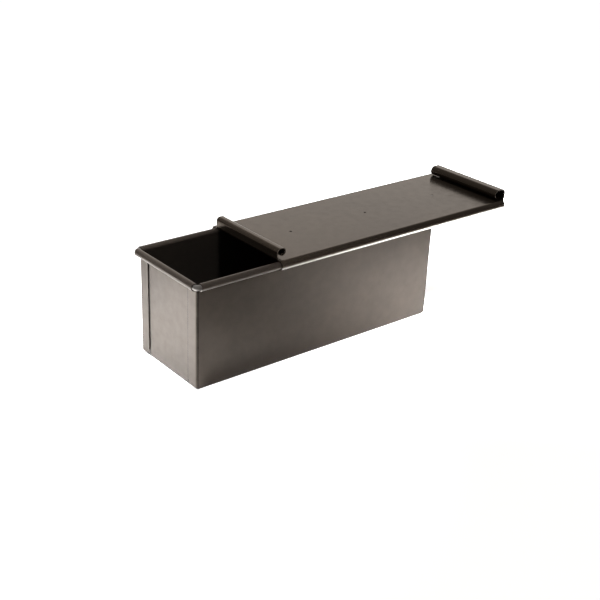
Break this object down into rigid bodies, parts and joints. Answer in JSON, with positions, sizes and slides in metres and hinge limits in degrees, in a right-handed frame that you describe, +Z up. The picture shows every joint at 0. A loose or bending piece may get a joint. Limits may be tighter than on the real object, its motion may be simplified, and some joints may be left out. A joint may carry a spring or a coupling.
{
  "type": "lidded loaf pan",
  "caption": "Long narrow loaf pan folded from dark steel sheet, with a wired rolled rim and a flat sliding lid that rides on the rim, a small curl at one end and a larger roll to pull it by at the other.",
  "frame": {"origin": "centre of the underside of the pan's base", "axes": "+X along the pan towards the end where the lid's large roll is, +Y from the front wall to the back wall, +Z up"},
  "size_m": [0.3745, 0.105, 0.1108],
  "materials": {
    "pan_steel": "blued steel sheet, dark satin oxide, baked-on oil",
    "wire_steel": "drawn steel wire, dull grey",
    "lid_steel": "blued steel sheet, dark satin oxide"
  },
  "bodies": {
    "pan": {"base_and_sides": "pan_steel", "left_end_panel": "pan_steel", "right_end_panel": "pan_steel", "rim_wire": "wire_steel"},
    "lid": {"sliding_lid": "lid_steel"}
  },
  "joints": [
    {"name": "lid_slide", "type": "slide", "parent": "pan", "child": "lid", "axis": [1, 0, 0], "range_m": [-0.0875, 0.205]}
  ]
}
